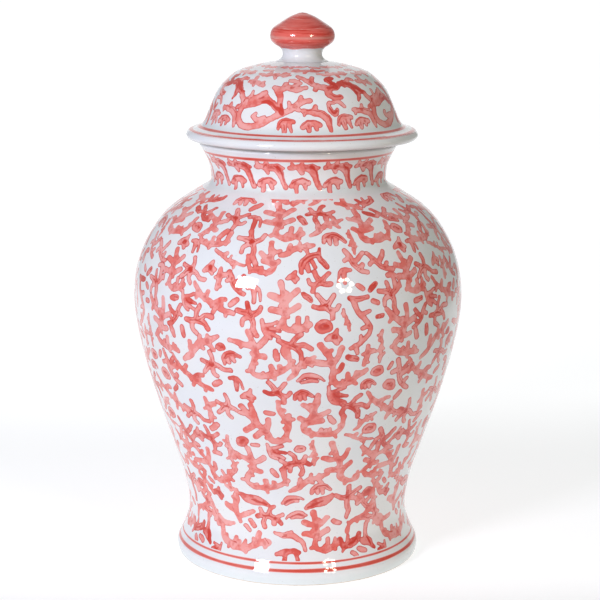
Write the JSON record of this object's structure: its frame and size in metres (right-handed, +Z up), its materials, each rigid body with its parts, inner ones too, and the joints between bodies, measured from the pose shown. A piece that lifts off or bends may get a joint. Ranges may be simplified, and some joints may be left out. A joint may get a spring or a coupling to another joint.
{
  "type": "ginger jar",
  "caption": "Lidded ceramic jar with a waisted foot, round shoulder and flared neck, and a lift-off domed lid with a locating collar and a pointed knob.",
  "frame": {"origin": "where the jar's axis meets the plane it stands on", "axes": "+Z up along the jar's axis, +X to the right and -Y towards the viewer of the front"},
  "size_m": [0.2748, 0.2748, 0.457],
  "materials": {
    "glaze_white": "high-gloss clear glaze over a cool white body",
    "glaze_coral": "brushed coral-red underglaze colour under a high-gloss clear glaze",
    "bare_clay": "unglazed matte biscuit"
  },
  "bodies": {
    "jar": {"jar_body": "glaze_white"},
    "lid": {"lid_dome": "glaze_white", "lid_collar": "bare_clay", "lid_knob": "glaze_coral"}
  },
  "joints": [
    {"name": "lid_lift", "type": "slide", "parent": "jar", "child": "lid", "axis": [0, 0, 1], "range_m": [0, 0.12]}
  ]
}
